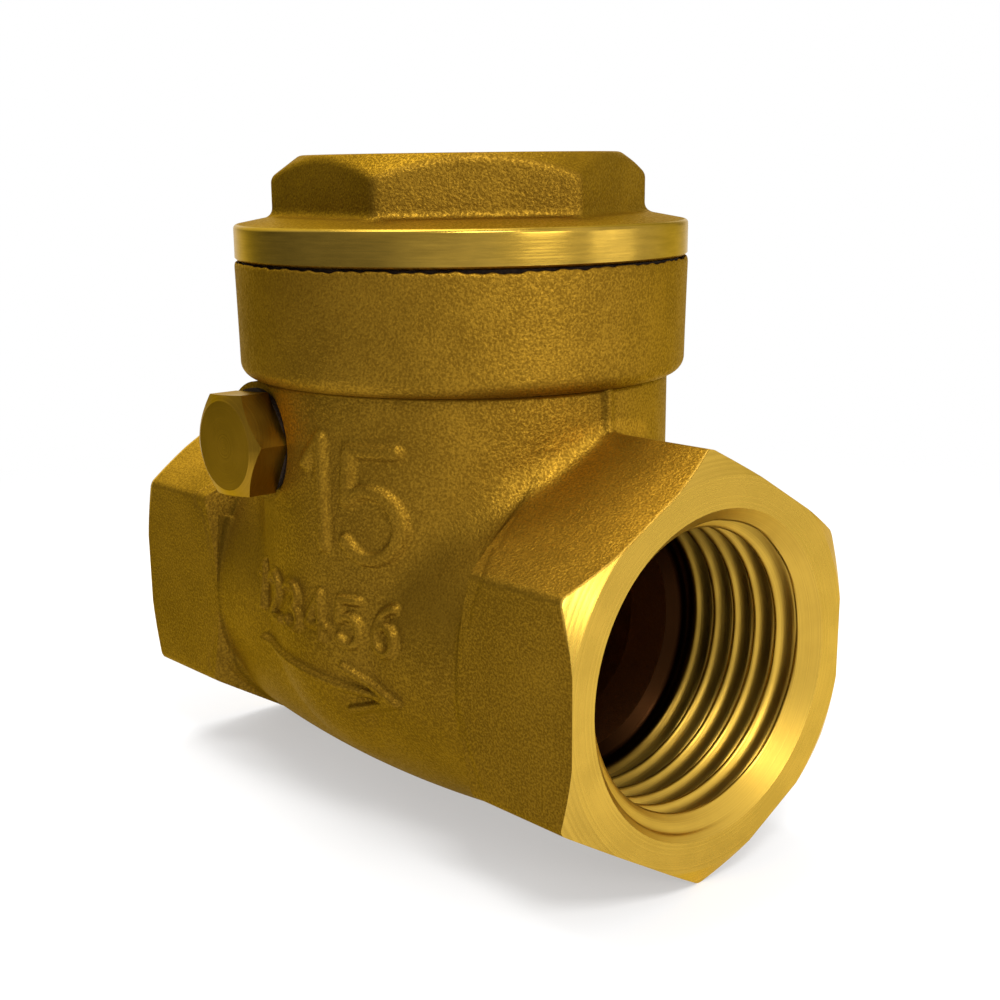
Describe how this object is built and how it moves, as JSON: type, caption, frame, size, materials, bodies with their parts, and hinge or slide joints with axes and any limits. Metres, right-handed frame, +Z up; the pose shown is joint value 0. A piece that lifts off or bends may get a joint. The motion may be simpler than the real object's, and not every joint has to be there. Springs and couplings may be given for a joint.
{
  "type": "swing check valve",
  "caption": "Brass swing check valve with hexagonal threaded ends, a screwed bonnet and a hinged disc that lets flow pass one way only.",
  "frame": {"origin": "centre of the inlet thread's outer end, on the flow line, 1.6 mm inside the inlet face", "axes": "+X along the flow from inlet to outlet, +Z up the bonnet axis, the hinge plug faces -Y"},
  "size_m": [0.0494, 0.033, 0.0471],
  "materials": {
    "forged_brass": "sand-blasted",
    "machined_brass": "turned",
    "stainless_steel": "ground",
    "seal_rubber": "satin",
    "fibre": "matte"
  },
  "bodies": {
    "valve": {"valve_body": "forged_brass", "bonnet": "forged_brass", "bonnet_gasket": "fibre", "pin_plug": "machined_brass", "plug_washer": "fibre", "hinge_pin": "stainless_steel"},
    "flap_arm": {"hinge_arm": "machined_brass"},
    "disc_assembly": {"valve_disc": "machined_brass", "disc_seal": "seal_rubber", "disc_washer": "machined_brass", "disc_nut": "machined_brass"}
  },
  "joints": [
    {"name": "flap_swing", "type": "hinge", "parent": "valve", "child": "flap_arm", "pos_m": [0.0179, 0, 0.0132], "axis": [0, -1, 0], "range_deg": [0, 58]},
    {"name": "disc_spin", "type": "hinge", "parent": "flap_arm", "child": "disc_assembly", "pos_m": [0.016, 0, 0], "axis": [0.9925, 0, 0.1219], "continuous": true}
  ]
}
